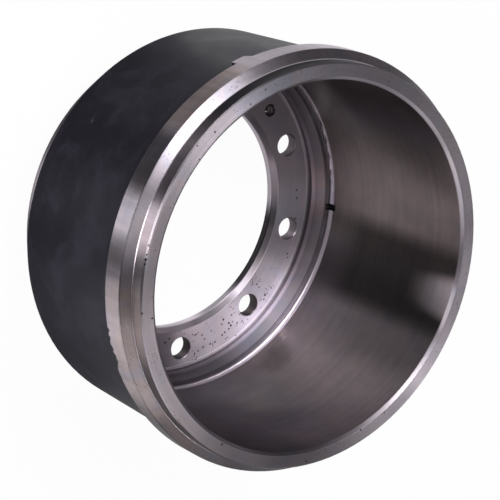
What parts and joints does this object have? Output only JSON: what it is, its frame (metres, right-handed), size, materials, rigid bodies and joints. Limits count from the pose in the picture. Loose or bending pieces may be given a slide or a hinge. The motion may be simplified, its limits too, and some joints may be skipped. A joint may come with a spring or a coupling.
{
  "type": "brake drum",
  "caption": "Deep cast brake drum for a heavy axle, with a turned braking bore, a stepped rim at its open end and a drilled mounting flange with a centring bore.",
  "frame": {"origin": "centre of the wheel face, the outer face of the mounting flange, which the drum stands on", "axes": "+Z along the drum's axis towards its open end; +X through a wheel bolt hole"},
  "size_m": [0.4684, 0.4684, 0.278],
  "materials": {
    "cast_iron": "machined grey iron on the rim, bore and flange, matt black paint on the cast outside"
  },
  "bodies": {
    "root": {"brake_drum": "cast_iron"}
  },
  "joints": []
}
